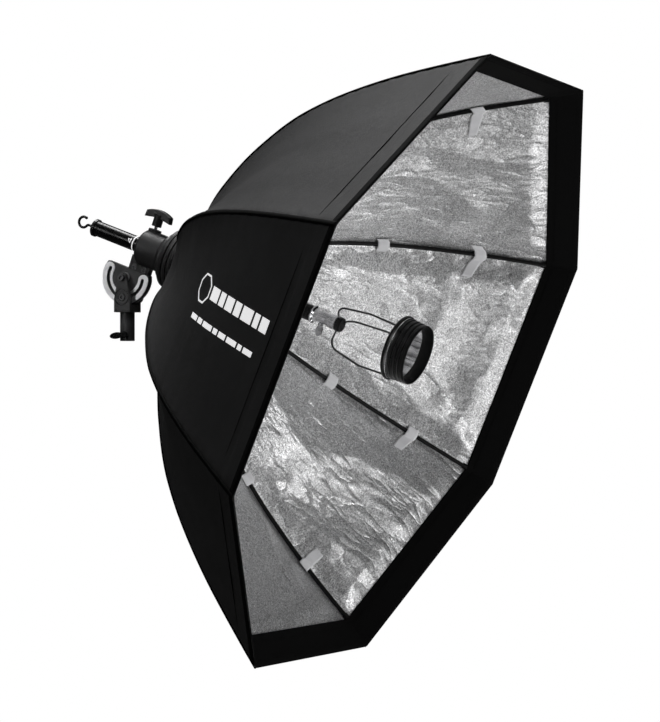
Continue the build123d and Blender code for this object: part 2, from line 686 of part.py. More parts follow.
def socket_axis(k):
    """Frame at the inner end of flex rod k, z along the rod towards the rim."""
    path = seam_path(FLEX_ROD_INSET, ROD_TIP_AT, ROD_TAIL)
    end = path @ 1
    out = path % 1
    plane = Plane(origin=(end.X, 0, end.Y), x_dir=(0, 1, 0), z_dir=(-out.X, 0, -out.Y))
    return Rot(0, 0, seam_angle(k)) * Location(plane)


def rod_sockets():
    """Eight tubes welded in the speed ring's slots; each holds the end of a flex rod."""
    socket = rod_z(SOCKET_R, -SOCKET_FLOOR, ROD_TAIL + 6) - rod_z(FLEX_ROD_R + 0.1, -0.1, 40)
    return Compound(children=[socket_axis(k) * socket for k in range(SIDES)])


def rear_cuff():
    """Elastic cuff that closes the cover round the rubber mount."""
    rim = REAR_OPENING_R + 7
    return turned([(59.5, 28), (61.5, 27), (66.5, 30.5), (rim, 36.2), (rim, 38.2), (64.5, 38.2), (59.5, 33)])


# ------------------------------------------------------------------ write every node
save("stand_tube", stand_tube())
save("stand_screw", stand_screw())
save("yoke", yoke())
save("tube_pin", tube_pin())
save("pivot_bolt", pivot_bolt())
save("pivot_nut", pivot_nut())
save("friction_washers", friction_washers())
save("lock_bolt", lock_bolt())
save("lock_lever_hub", lock_lever_hub())
save("lock_lever", lock_lever())

save("tilt_plate", tilt_plate(), HEAD)
save("arc_tracks", arc_tracks(), HEAD)
save("clamp_housing", clamp_housing(), HEAD)
save("foot_screws", foot_screws(), HEAD)
save("clamp_liner", clamp_liner(), ROD)
save("clamp_pad", clamp_pad(), ROD)
save("rubber_collar", rubber_collar(), ROD)
save("bearing_sleeve", bearing_sleeve(), SOFT)
save("retaining_ring", retaining_ring(), SOFT)
save("knob_screw", knob_screw(), ROD)
save("knob_handle", knob_handle(), ROD)

save("rod_tube", rod_tube(), ROD)
save("rod_end_cap", rod_end_cap(), ROD)
save("end_cap_screws", end_cap_screws(), ROD)
save("rod_hook", rod_hook(), ROD)
save("hook_nut", hook_nut(), ROD)
save("cage_hub", cage_hub(), ROD)
save("hub_screw", hub_screw(), ROD)
save("wire_nut", wire_nut(), ROD)
save("cage_wires", cage_wires(), ROD)
save("rear_bumper", rear_bumper(), ROD)
save("adapter_ring", adapter_ring(), ROD)
save("lamp_collar", lamp_collar(), ROD)
save("collar_clip", collar_clip(), ROD)

for side in range(SIDES):
    save(f"cover_panel_{side + 1}", cover_panel(side), SOFT)
    save(f"flex_rod_{side + 1}", flex_rod(side), SOFT)
save("silver_lining", silver_lining(), SOFT)
save("front_hem", front_hem(), SOFT)
save("grip_strip", grip_strip(), SOFT)
save("seam_piping", seam_piping(), SOFT)
save("rod_tips", rod_tips(), SOFT)
save("rod_tabs", rod_tabs(), SOFT)
save("speed_ring", speed_ring(), SOFT)
save("ring_bush", ring_bush(), SOFT)
save("rod_sockets", rod_sockets(), SOFT)
save("rear_cuff", rear_cuff(), SOFT)
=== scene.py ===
import json
import math

import bmesh
import bpy
from mathutils import Matrix, Vector, noise


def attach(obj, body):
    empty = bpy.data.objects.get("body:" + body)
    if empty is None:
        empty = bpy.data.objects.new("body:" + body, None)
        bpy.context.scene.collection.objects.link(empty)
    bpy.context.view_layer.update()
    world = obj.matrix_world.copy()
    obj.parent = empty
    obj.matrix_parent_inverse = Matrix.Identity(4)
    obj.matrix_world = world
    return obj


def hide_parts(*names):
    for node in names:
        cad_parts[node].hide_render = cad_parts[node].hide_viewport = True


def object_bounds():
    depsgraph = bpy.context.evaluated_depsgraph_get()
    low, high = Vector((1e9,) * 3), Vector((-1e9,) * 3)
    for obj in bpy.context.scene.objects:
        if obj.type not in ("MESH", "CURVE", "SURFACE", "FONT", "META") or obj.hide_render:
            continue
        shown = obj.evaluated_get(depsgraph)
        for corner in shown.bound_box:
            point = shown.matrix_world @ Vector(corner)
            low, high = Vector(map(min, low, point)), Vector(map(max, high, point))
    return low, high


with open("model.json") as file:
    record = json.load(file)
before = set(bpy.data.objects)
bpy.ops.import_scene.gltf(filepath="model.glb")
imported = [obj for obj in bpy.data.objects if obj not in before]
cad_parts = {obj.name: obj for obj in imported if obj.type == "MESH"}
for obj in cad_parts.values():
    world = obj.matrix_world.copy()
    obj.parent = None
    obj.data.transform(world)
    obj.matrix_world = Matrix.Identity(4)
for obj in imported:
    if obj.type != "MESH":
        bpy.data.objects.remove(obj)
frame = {"nodes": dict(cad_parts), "record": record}
CAD_BOX = [list(corner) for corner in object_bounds()]

# Looks of an indirect octabox. Metres, in the row frame: +Z up, the open front faces -Y and a
# little down. Cloth is laid out on a grid of (side, across, along), where along runs down a seam
# from the front rim to the hub.

# ------------------------------------------------------------------ the object's frames
RECORD = frame["record"]
JOINTS = {joint["name"]: joint for joint in RECORD["behaviour"]["joints"]}
MOUNTS = {mount["name"]: mount for mount in RECORD["mounts"]}
SWIVEL = Vector(JOINTS["softbox_roll"]["pos_m"])
AXIS = Vector(JOINTS["softbox_roll"]["axis"]).normalized()
ROD_AXIS = Vector(JOINTS["rod_slide"]["axis"]).normalized()
ACROSS = Vector((1, 0, 0))


def frame_matrix(forward, origin):
    """Frame with x along the row's X, z forward and y up between them."""
    up = forward.cross(ACROSS)
    turn = Matrix((ACROSS, up, forward)).transposed().to_4x4()
    return Matrix.Translation(origin) @ turn


SOFT = frame_matrix(AXIS, SWIVEL)
ROD = frame_matrix(ROD_AXIS, SWIVEL)

# ------------------------------------------------------------------ the softbox's shape
SIDES = 8
HALF_SIDE = math.pi / SIDES
ROLL = math.radians(1.7)    # how far the octagon is turned from level
DEPTH = (Vector(MOUNTS["front_rim"]["pos_m"]) - SWIVEL).length
RIM_R = 0.610               # corner radius at the front rim
SEAM_LENGTH = 0.743
SEAM_ARCS = 5               # a seam is this many arcs, each tighter than the one before
SEAM_START = 29.6           # degrees between the seam and the axis at the rim
SEAM_TURN = 47.4            # degrees the seam turns on its way to the hub
SEAM_STEPS = 80
STEPS_PAST_END = 6
HUB_R = 0.0665
LIP_DEPTH = 0.051           # how far behind the rim the hem's inner fold lies
LIP_R = 0.572
FLEX_ROD_R = 0.004
FLEX_ROD_INSET = 0.0096
LINING_INSET = 0.0036
CORNER_R = 0.020            # rounding of the cloth over a seam
SMALLEST_FLAT = 0.03


def seam_heading(s):
    """Angle between a seam and the axis, s along it from the rim, in radians."""
    place = min(max(s / SEAM_LENGTH, 0.0), 1.0) * SEAM_ARCS
    arc = min(int(place), SEAM_ARCS - 1)
    low = (arc / SEAM_ARCS) ** 2
    high = ((arc + 1) / SEAM_ARCS) ** 2
    return math.radians(SEAM_START + SEAM_TURN * (low + (high - low) * (place - arc)))


def seam_table():
    """Corner radius and forward distance at even steps along a seam, past its end to the hub."""
    r, z, rows = RIM_R, DEPTH, [(RIM_R, DEPTH)]
    step = SEAM_LENGTH / SEAM_STEPS
    for i in range(SEAM_STEPS + STEPS_PAST_END):
        heading = seam_heading((i + 0.5) * step)
        r -= math.sin(heading) * step
        z -= math.cos(heading) * step
        rows.append((r, z))
    return rows


SEAM_ROWS = seam_table()
SHEET_GAP = SEAM_ROWS[SEAM_STEPS][0] * math.cos(HALF_SIDE) - HUB_R
SHEET_END = SEAM_LENGTH + SHEET_GAP / math.sin(seam_heading(1.0))


def seam_point(s):
    """Corner radius and forward distance of a seam, s along it."""
    place = max(s, 0.0) / SEAM_LENGTH * SEAM_STEPS
    i = min(int(place), len(SEAM_ROWS) - 2)
    (r0, z0), (r1, z1) = SEAM_ROWS[i], SEAM_ROWS[i + 1]
    return r0 + (r1 - r0) * (place - i), z0 + (z1 - z0) * (place - i)


def seam_angle(k):
    return HALF_SIDE + 2 * HALF_SIDE * k - ROLL


def seam_frame(k, s, inset=0.0):
    """Place on seam k: x across it, y along it to the rim and z inward."""
    r, z = seam_point(s)
    heading = seam_heading(s)
    angle = seam_angle(k)
    radial = Vector((math.cos(angle), math.sin(angle), 0))
    side = Vector((-math.sin(angle), math.cos(angle), 0))
    forward = Vector((0, 0, 1))
    along = radial * math.sin(heading) + forward * math.cos(heading)
    inward = forward * math.sin(heading) - radial * math.cos(heading)
    turn = Matrix((side, along, inward)).transposed().to_4x4()
    return SOFT @ Matrix.Translation(radial * r + forward * z + inward * inset) @ turn


def half_width(s):
    """Half the width of a side, s along its seams."""
    return seam_point(s)[0] * math.sin(HALF_SIDE)


def side_axes(k):
    """Unit vectors of side k in the softbox's frame: out from the axis, and across the side."""
    middle = seam_angle(k) + HALF_SIDE
    out = Vector((math.cos(middle), math.sin(middle), 0))
    side = Vector((-math.sin(middle), math.cos(middle), 0))
    return out, side


def side_point(k, u, s, inset):
    """Point of side k, u from its first seam to its second, s along, set in by inset metres."""
    r, z = seam_point(s)
    heading = seam_heading(s)
    flat = r * math.cos(HALF_SIDE)
    half = r * math.sin(HALF_SIDE)
    offset = (2 * u - 1) * half
    from_seam = half - abs(offset)
    reach = CORNER_R * math.tan(HALF_SIDE)
    if from_seam < reach:
        inset = inset + (1 - from_seam / reach) ** 2 * CORNER_R * (1 / math.cos(HALF_SIDE) - 1)
    out, side = side_axes(k)
    slope = Vector((math.cos(heading), math.sin(heading) * math.cos(HALF_SIDE), 0)).normalized()
    point = out * (flat - slope.x * inset) + side * offset * (1 - inset / max(flat, SMALLEST_FLAT))
    point.z = z + slope.y * inset
    return SOFT @ point


# ------------------------------------------------------------------ mesh helpers
def make_object(name, verts, faces, uvs=None, smooth=True):
    """New object; uvs gives each vertex its place on the flat cloth, in metres."""
    mesh = bpy.data.meshes.new(name)
    mesh.from_pydata([tuple(v) for v in verts], [], faces)
    if uvs:
        layer = mesh.uv_layers.new(name="cloth")
        for loop in mesh.loops:
            layer.data[loop.index].uv = uvs[loop.vertex_index]
    for face in mesh.polygons:
        face.use_smooth = smooth
    mesh.validate()
    obj = bpy.data.objects.new(name, mesh)
    bpy.context.collection.objects.link(obj)
    return obj


def grid_faces(rows, columns, start=0, closed=False):
    """Quads over rows of columns points; closed joins the last column to the first."""
    faces = []
    for i in range(rows - 1):
        for j in range(columns if closed else columns - 1):
            a = start + i * columns + j
            b = start + i * columns + (j + 1) % columns
            faces.append((a, b, b + columns, a + columns))
    return faces


def swept(name, stations, section):
    """Solid swept through a list of frames; section is a closed list of (x, z) in each."""
    verts, faces = [], []
    for frames in stations:
        start = len(verts)
        for place in frames:
            verts += [place @ Vector((x, 0, z)) for x, z in section]
        faces += grid_faces(len(frames), len(section), start, closed=True)
        count = len(section)
        last = start + (len(frames) - 1) * count
        faces.append(tuple(range(start, start + count)))
        faces.append(tuple(range(last + count - 1, last - 1, -1)))
    return make_object(name, verts, faces)


def thicken(obj, thickness, offset=-1.0):
    """Give a sheet its thickness, to the inside, the outside or both sides of its surface."""
    modifier = obj.modifiers.new("thickness", "SOLIDIFY")
    modifier.thickness = thickness
    modifier.offset = offset


def fit_material(obj, material):
    obj.data.materials.clear()
    obj.data.materials.append(material)


def fix_normals(obj):
    mesh = bmesh.new()
    mesh.from_mesh(obj.data)
    bmesh.ops.recalc_face_normals(mesh, faces=mesh.faces)
    mesh.to_mesh(obj.data)
    mesh.free()
    return obj


def band(value, low, high):
    """0 below low, 1 above high, smooth between."""
    t = min(max((value - low) / (high - low), 0.0), 1.0)
    return t * t * (3 - 2 * t)


CREASE_SHARPNESS = 2.2


def ridged(place, scale, seed):
    """Sharp creases: near 1 on a crease and falling to 0 away from it."""
    value = noise.noise(Vector((place.x * scale, place.y * scale, place.z * scale + seed)))
    return 1 - min(abs(value) * CREASE_SHARPNESS, 1.0)


# ------------------------------------------------------------------ materials
def node_material(name):
    """New material with only a Principled shader and its output."""
    material = bpy.data.materials.new(name)
    material.use_nodes = True
    nodes = material.node_tree.nodes
    nodes.clear()
    out = nodes.new("ShaderNodeOutputMaterial")
    shader = nodes.new("ShaderNodeBsdfPrincipled")
    material.node_tree.links.new(shader.outputs[0], out.inputs[0])
    return material, nodes, material.node_tree.links, shader


def coordinates(nodes, cloth):
    """Place on the flat cloth, or in the object's own frame."""
    if cloth:
        source = nodes.new("ShaderNodeUVMap")
        source.uv_map = "cloth"
        return source.outputs[0]
    return nodes.new("ShaderNodeTexCoord").outputs["Object"]


def noise_node(nodes, links, place, scale, detail=3.0, rough=0.55):
    """Noise between 0 and 1; scale is in patches to the metre."""
    texture = nodes.new("ShaderNodeTexNoise")
    texture.inputs["Scale"].default_value = scale
    texture.inputs["Detail"].default_value = detail
    texture.inputs["Roughness"].default_value = rough
    links.new(place, texture.inputs["Vector"])
    return texture.outputs["Fac"]


def ramp_node(nodes, links, value, stops):
    """Colours over a value; stops is a list of (position, colour)."""
    ramp = nodes.new("ShaderNodeValToRGB")
    ramp.color_ramp.elements[0].position = stops[0][0]
    ramp.color_ramp.elements[0].color = (*stops[0][1], 1)
    ramp.color_ramp.elements[1].position = stops[-1][0]
    ramp.color_ramp.elements[1].color = (*stops[-1][1], 1)
    for position, colour in stops[1:-1]:
        ramp.color_ramp.elements.new(position).color = (*colour, 1)
    links.new(value, ramp.inputs[0])
    return ramp.outputs[0]


def math_node(nodes, links, operation, a, b):
    node = nodes.new("ShaderNodeMath")
    node.operation = operation
    for socket, value in zip(node.inputs, (a, b)):
        if isinstance(value, (int, float)):
            socket.default_value = value
        else:
            links.new(value, socket)
    return node.outputs[0]


def bump_node(nodes, links, height, distance, strength=1.0, normal=None):
    """Normal bent by a height of up to distance metres, on top of another normal."""
    bump = nodes.new("ShaderNodeBump")
    bump.inputs["Strength"].default_value = strength
    bump.inputs["Distance"].default_value = distance
    links.new(height, bump.inputs["Height"])
    if normal is not None:
        links.new(normal, bump.inputs["Normal"])
    return bump.outputs[0]


METRES_PER_RADIAN = 0.05    # of a wave texture whose scale is 1


def weave_height(nodes, links, place, pitch):
    """Plain weave: two crossed sets of threads, pitch metres apart."""
    waves = []
    for direction in ("X", "Y"):
        wave = nodes.new("ShaderNodeTexWave")
        wave.bands_direction = direction
        wave.inputs["Scale"].default_value = METRES_PER_RADIAN / pitch * 2 * math.pi
        wave.inputs["Distortion"].default_value = 0.6
        wave.inputs["Detail"].default_value = 1.0
        links.new(place, wave.inputs["Vector"])
        waves.append(wave.outputs["Fac"])
    return math_node(nodes, links, "MULTIPLY", *waves)


def cloth_material(name, dark, light, pitch, rough, sheen, wrinkle=0.0008, gloss=0.35):
    """Woven cloth with faded patches, threads and small soft wrinkles."""
    material, nodes, links, shader = node_material(name)
    place = coordinates(nodes, True)
    patches = noise_node(nodes, links, place, 7.0, 6.0, 0.62)
    colour = ramp_node(nodes, links, patches, [(0.3, dark), (0.72, light)])
    links.new(colour, shader.inputs["Base Color"])
    shader.inputs["Roughness"].default_value = rough
    shader.inputs["Sheen Weight"].default_value = sheen
    shader.inputs["Sheen Roughness"].default_value = 0.45
    shader.inputs["Specular IOR Level"].default_value = gloss
    folds = noise_node(nodes, links, place, 38.0, 4.0, 0.5)
    soft = bump_node(nodes, links, folds, wrinkle)
    weave = weave_height(nodes, links, place, pitch)
    threads = bump_node(nodes, links, weave, pitch * 0.25, 0.7, soft)
    links.new(threads, shader.inputs["Normal"])
    return material


FLAKES_PER_METRE = 640.0
CREASE_STRETCH = (2.4, 1.0, 1.0)


def silver_material():
    """Silver reflector cloth: bright flakes, fine grain, and creases that run down the side."""
    material, nodes, links, shader = node_material("silver_cloth")
    place = coordinates(nodes, True)
    flakes = nodes.new("ShaderNodeTexVoronoi")
    flakes.inputs["Scale"].default_value = FLAKES_PER_METRE
    links.new(place, flakes.inputs["Vector"])
    tone = nodes.new("ShaderNodeSeparateColor")
    links.new(flakes.outputs["Color"], tone.inputs[0])
    grain = ramp_node(nodes, links, tone.outputs[0], [
        (0.0, (0.24, 0.24, 0.245)), (0.35, (0.50, 0.50, 0.505)),
        (0.8, (0.78, 0.78, 0.785)), (1.0, (0.98, 0.98, 0.98))])
    links.new(grain, shader.inputs["Base Color"])
    shader.inputs["Metallic"].default_value = 0.85
    smears = noise_node(nodes, links, place, 14.0, 5.0)
    rough = ramp_node(nodes, links, smears, [(0.3, (0.34, 0.34, 0.34)), (0.7, (0.50, 0.50, 0.50))])
    links.new(rough, shader.inputs["Roughness"])
    drawn = nodes.new("ShaderNodeMapping")
    drawn.inputs["Scale"].default_value = CREASE_STRETCH
    links.new(place, drawn.inputs["Vector"])
    folds = noise_node(nodes, links, drawn.outputs[0], 7.0, 3.0, 0.5)
    centred = math_node(nodes, links, "SUBTRACT", folds, 0.5)
    valley = math_node(nodes, links, "ABSOLUTE", centred, 0.0)
    sharp = math_node(nodes, links, "POWER", valley, 0.7)
    crease = bump_node(nodes, links, sharp, 0.0105, 0.8)
    crinkle = noise_node(nodes, links, drawn.outputs[0], 24.0, 8.0, 0.62)
    fine = bump_node(nodes, links, crinkle, 0.0027, 0.7, crease)
    grit = bump_node(nodes, links, tone.outputs[1], 0.0006, 0.6, fine)
    links.new(grit, shader.inputs["Normal"])
    return material


EDGE_R = 0.0006             # how wide a hard edge catches the light


def hard_material(name, dark, light, rough, metallic, grain=0.0, grain_scale=900.0,
                  streak=None, gloss=0.5):
    """Solid surface: colour that changes in patches, slightly on most parts and from dark to bright on
    the mirror-bright metal, where that swing is painted reflection; rounded edges that catch light, fine
    grain and wear.
    """
    material, nodes, links, shader = node_material(name)
    place = coordinates(nodes, False)
    # Colour patches: random tone on most parts; on the mirror-bright metal the wide dark-to-bright range
    # is painted reflection.
    patches = noise_node(nodes, links, place, 55.0, 5.0)
    colour = ramp_node(nodes, links, patches, [(0.3, dark), (0.7, light)])
    links.new(colour, shader.inputs["Base Color"])
    shader.inputs["Metallic"].default_value = metallic
    smears = noise_node(nodes, links, place, 120.0, 4.0)
    smooth = max(rough - 0.07, 0.03)
    worn = rough + 0.08
    spread = ramp_node(nodes, links, smears, [(0.3, (smooth,) * 3), (0.7, (worn,) * 3)])
    links.new(spread, shader.inputs["Roughness"])
    shader.inputs["Specular IOR Level"].default_value = gloss
    edge = nodes.new("ShaderNodeBevel")
    edge.samples = 4
    edge.inputs["Radius"].default_value = EDGE_R
    normal = edge.outputs[0]
    if streak:
        stretch = nodes.new("ShaderNodeMapping")
        stretch.inputs["Scale"].default_value = streak
        links.new(place, stretch.inputs["Vector"])
        brushed = noise_node(nodes, links, stretch.outputs[0], 1.0, 3.0)
        normal = bump_node(nodes, links, brushed, 0.00006, 0.5, normal)
    if grain:
        pits = noise_node(nodes, links, place, grain_scale, 2.0)
        normal = bump_node(nodes, links, pits, grain, 0.8, normal)
    links.new(normal, shader.inputs["Normal"])
    return material


def print_material():
    """White print, with a little light of its own so that it reads as white on a dark side."""
    material = hard_material("white_print", grey(0.80), grey(0.86), 0.5, 0.0)
    shader = material.node_tree.nodes["Principled BSDF"]
    shader.inputs["Emission Color"].default_value = (1, 1, 1, 1)
    shader.inputs["Emission Strength"].default_value = 0.62
    return material


def grey(value):
    """Neutral colour with a trace of blue."""
    return (value, value, value * 1.02)


COVER = cloth_material("cover_cloth", grey(0.033), grey(0.043), 0.0007, 0.6, 0.015, gloss=0.14)
HEM = cloth_material("hem_cloth", grey(0.0018), grey(0.003), 0.0007, 0.85, 0.0, gloss=0.06)
BINDING = cloth_material("binding_tape", grey(0.0015), grey(0.003), 0.0011, 0.8, 0.0, 0.0003, gloss=0.10)
WHITE_TAPE = cloth_material("white_tape", grey(0.70), grey(0.80), 0.0009, 0.6, 0.3, 0.0004)
PRINT = print_material()
SILVER = silver_material()
POWDER = hard_material("black_powder_coat", grey(0.045), grey(0.070), 0.48, 0.0, 0.00016, 900.0)
HOUSING = hard_material("housing_paint", grey(0.020), grey(0.027), 0.5, 0.0, 0.00007, 1300.0)
BLACK_METAL = hard_material("black_metal", grey(0.015), grey(0.024), 0.30, 0.6)
ROD_BLACK = hard_material("rod_black", grey(0.0025), grey(0.004), 0.28, 0.0, gloss=0.22)
RUBBER = hard_material("black_rubber", grey(0.0025), grey(0.005), 0.34, 0.0, 0.00003, 1600.0, gloss=0.35)
BELLOWS = hard_material("collar_rubber", grey(0.018), grey(0.028), 0.46, 0.0, 0.00003, 1600.0)
BOLT = hard_material("bolt_steel", grey(0.07), grey(0.11), 0.30, 0.9)
PLASTIC = hard_material("black_plastic", grey(0.011), grey(0.017), 0.40, 0.0, 0.00005, 1500.0)
# Mirror-bright metal: its colour swings from dark to bright in patches. This is a painted reflection of
# its surroundings, not the metal's own tone.
CHROME_PAINTED_REFLECTIONS = hard_material("chrome_painted_reflections", grey(0.28), grey(0.82), 0.08, 1.0)
TRACK = hard_material("satin_aluminium", grey(0.82), grey(0.92), 0.44, 1.0,
                      streak=(90.0, 700.0, 700.0))
DARK_ALUMINIUM = hard_material("dark_aluminium", grey(0.03), grey(0.05), 0.35, 0.8)
WIRE = hard_material("black_wire", grey(0.07), grey(0.11), 0.20, 0.9)
NYLON = hard_material("nylon", grey(0.5), grey(0.6), 0.5, 0.0)
BRASS = hard_material("brass", (0.62, 0.44, 0.17), (0.7, 0.52, 0.22), 0.3, 1.0)
FIBRE = hard_material("fibre_rod", grey(0.003), grey(0.005), 0.42, 0.0, gloss=0.15)

CAD_LOOKS = {
    POWDER: ("stand_tube", "yoke", "tilt_plate"),
    BLACK_METAL: ("rod_hook", "hook_nut", "end_cap_screws", "wire_nut", "stand_screw", "rod_sockets"),
    BOLT: ("tube_pin", "pivot_bolt", "pivot_nut", "lock_bolt", "foot_screws"),
    NYLON: ("friction_washers", "ring_bush"),
    CHROME_PAINTED_REFLECTIONS: ("lock_lever_hub", "knob_screw", "retaining_ring", "cage_hub", "hub_screw", "collar_clip",
             "adapter_ring"),
    PLASTIC: ("lock_lever", "knob_handle", "clamp_liner", "rod_end_cap"),
    TRACK: ("arc_tracks",),
    HOUSING: ("clamp_housing",),
    BRASS: ("clamp_pad",),
    RUBBER: ("rear_bumper", "lamp_collar"),
    BELLOWS: ("rubber_collar",),
    DARK_ALUMINIUM: ("bearing_sleeve", "speed_ring"),
    ROD_BLACK: ("rod_tube",),
    WIRE: ("cage_wires",),
    FIBRE: tuple(f"flex_rod_{k + 1}" for k in range(SIDES)) + ("rod_tips",),
    HEM: ("grip_strip",),
}


def dress_cad():
    """Give every CAD node that stays visible its material."""
    for material, names in CAD_LOOKS.items():
        for name in names:
            fit_material(frame["nodes"][name], material)


# ------------------------------------------------------------------ cloth
ACROSS_STEPS = 44
COVER_STEPS = (ACROSS_STEPS, 120)
LINING_STEPS = (84, 180)
COVER_THICKNESS = 0.0008
LINING_THICKNESS = 0.0005
RIM_HOLLOW = 0.003          # how far the cloth pulls in between two rods, from the rim on
SADDLE = 0.018              # how much more it does so on the way to the hub
SEAM_HOLLOW = 0.0035        # how far a seam itself is drawn in there
COVER_GAP = 0.0003          # least inset of the cover from the plain surface of the sides
TENSION = 0.0011            # faint folds of the taut cover
DRAWN = 0.0006              # fine lines across it
PUCKER = 0.0004             # puckers beside a seam
PUCKER_PITCH = 0.031
MIDDLE_INSET = 0.0012       # more inset away from the seams, to keep the folds inside that surface
HEM_STEP = 0.0006           # how far the doubled cloth of the hem stands out
STITCH_DEPTH = 0.0006       # how deep the line of stitches near the rim lies
STITCH_AT = 0.011
BIG_CREASE = 0.0130         # creases of the silver cloth
FINE_CREASE = 0.0038
SMALL_CREASE = 0.0008
PILLOW = 0.0090             # broad swellings of it
# How loose the silver cloth is on each side.
SLACK = (0.45, 0.5, 0.7, 0.9, 0.8, 0.9, 1.15, 1.0)


def cloth_grid(s_from, s_to, steps, place):
    """Vertices, faces and cloth coordinates of all sides; place gives a point for (k, u, s)."""
    across_steps, along_steps = steps
    verts, uvs = [], []
    for i in range(along_steps + 1):
        t = i / along_steps
        s = s_from + (s_to - s_from) * (0.4 * t + 0.6 * t * t)
        width = 2 * half_width(s)
        for k in range(SIDES):
            for j in range(across_steps):
                u = j / across_steps
                verts.append(place(k, u, s))
                uvs.append(((u - 0.5) * width + k * 0.5, s))
    return verts, grid_faces(along_steps + 1, SIDES * across_steps, closed=True), uvs


def seam_distance(u, s):
    """Distance across a side to its nearer seam."""
    half = half_width(s)
    return half - abs(2 * u - 1) * half


def saddle(u, s):
    """Taut cloth between two bowed rods is hollow in the middle."""
    bell = 1 - (2 * u - 1) ** 2
    rim = RIM_HOLLOW * band(s, 0.0, 0.12)
    lower = SADDLE * band(s, 0.24, 0.54) * (1 - band(s, 0.63, 0.709))
    at_seam = SEAM_HOLLOW * band(s, 0.40, 0.52) * (1 - band(s, 0.60, 0.705))
    return (rim + lower) * bell + at_seam * (1 - bell)


def cover_inset(k, u, s):
    """Taut outer cloth: faint tension folds, puckers at the seams and a doubled hem."""
    from_seam = seam_distance(u, s)
    tension = noise.noise(Vector((u * 5 + k * 9, s * 3, 1.7))) * TENSION
    lines = noise.noise(Vector((u * 2 + k * 5, (s + 0.05 * u) * 24, 6.0))) * DRAWN
    drawn = lines * band(s, 0.03, 0.1)
    waves = math.sin(s * 2 * math.pi / PUCKER_PITCH + k) * PUCKER
    pucker = waves * (1 - band(from_seam, 0.004, 0.030))
    stitches = STITCH_DEPTH * (1 - band(abs(s - STITCH_AT), 0.0, 0.0026))
    hem = stitches - HEM_STEP * (1 - band(s, 0.043, 0.046))
    middle = band(from_seam, 0.0, 0.02)
    folds = (tension + drawn + MIDDLE_INSET + hem) * middle
    return COVER_GAP + saddle(u, s) + folds + pucker


def cover_place(k, u, s):
    return side_point(k, u, s, cover_inset(k, u, s))


def lining_inset(k, u, s):
    """Loose silver cloth: long sharp creases and pillows, held flat along the seams."""
    from_seam = seam_distance(u, s)
    slack = band(s, 0.060, 0.10) * SLACK[k % SIDES]
    across = (u - 0.5) * 2 * half_width(s)
    spot = Vector((across + (k % SIDES) * 3.1, s * 0.45, 0.0))
    bend_x = noise.noise(spot * 3.0)
    bend_y = noise.noise(spot * 3.0 + Vector((7, 3, 1)))
    bend = Vector((bend_x, bend_y, 0)) * 0.09
    big = ridged(spot + bend, 6.5, 2.0) * BIG_CREASE
    fine = ridged(spot + bend * 0.7, 17.0, 5.0) * FINE_CREASE
    small = ridged(spot + bend * 0.3, 42.0, 9.0) * SMALL_CREASE
    pillow = noise.noise(spot * 5.2 + Vector((0, 0, 4))) * PILLOW + PILLOW / 2
    near_hub = 1 - 0.6 * band(s, 0.5, 0.72)
    creases = (big + fine + small) * band(from_seam, 0.0, 0.060)
    lift = max(creases + pillow * band(from_seam, 0.0, 0.140), 0.0)
    return LINING_INSET + saddle(u, s) + lift * slack * near_hub


def lining_place(k, u, s):
    return side_point(k, u, s, lining_inset(k, u, s))


def soft_piece(obj, material, body, nodes):
    """Dress a cloth piece and let it ride a body in place of its stand-in nodes."""
    fit_material(obj, material)
    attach(obj, body)
    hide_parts(*nodes)


def make_cover():
    cover = make_object("cover", *cloth_grid(0.0, SHEET_END, COVER_STEPS, cover_place))
    thicken(cover, COVER_THICKNESS, 1.0)
    panels = [f"cover_panel_{k + 1}" for k in range(SIDES)]
    soft_piece(cover, COVER, "softbox", panels)


def make_lining():
    start = LIP_DEPTH * 1.12
    lining = make_object("lining", *cloth_grid(start, SHEET_END - 0.004, LINING_STEPS, lining_place))
    thicken(lining, LINING_THICKNESS)
    soft_piece(lining, SILVER, "softbox", ["silver_lining"])


HEM_THICKNESS = 0.0006
HEM_RIPPLE = 0.0009
STRIP_STEPS = 10            # steps across the flat strip between the lip and the rim


def hem_outline():
    """Section of the hem as (corner radius, distance behind the rim), from its inner fold outwards."""
    drop = math.tan(math.radians(SEAM_START))
    outline = [(LIP_R + 0.006, LIP_DEPTH + 0.0006), (LIP_R + 0.0015, LIP_DEPTH + 0.0012),
               (LIP_R - 0.0004, LIP_DEPTH), (LIP_R + 0.0008, LIP_DEPTH - 0.0016)]
    for i in range(1, STRIP_STEPS):
        t = i / STRIP_STEPS
        r = LIP_R + 0.001 + (RIM_R - 0.0075 - LIP_R) * t
        outline.append((r, (LIP_DEPTH - 0.002) * (1 - t) + 0.0008 * t))
    outline += [(RIM_R - 0.0048, 0.0001), (RIM_R - 0.0028, -0.0007), (RIM_R - 0.0010, -0.0003),
                (RIM_R + 0.0002, 0.0009), (RIM_R - 0.0004 - 0.004 * drop, 0.0045),
                (RIM_R - 0.0004 - 0.012 * drop, 0.0125)]
    return outline


def hem_line(k, u):
    """Places across the hem of side k, from behind its fold at the lip, out to the rim and round it."""
    out, side = side_axes(k)
    points = []
    for n, (r, depth) in enumerate(hem_outline()):
        half = r * math.sin(HALF_SIDE)
        offset = (2 * u - 1) * half
        reach = CORNER_R * math.tan(HALF_SIDE)
        near = max(1 - (half - abs(offset)) / reach, 0.0)
        pull = near ** 2 * CORNER_R * (1 / math.cos(HALF_SIDE) - 1)
        wave = noise.noise(Vector((u * 9 + k * 7, n * 0.35, 3.0))) * HEM_RIPPLE
        ripple = wave * band(n, 2, 6) * (1 - band(n, 11, 13))
        point = out * (r * math.cos(HALF_SIDE) - pull - ripple) + side * offset
        point.z = DEPTH - depth - ripple * 0.5
        points.append(SOFT @ point)
    return points


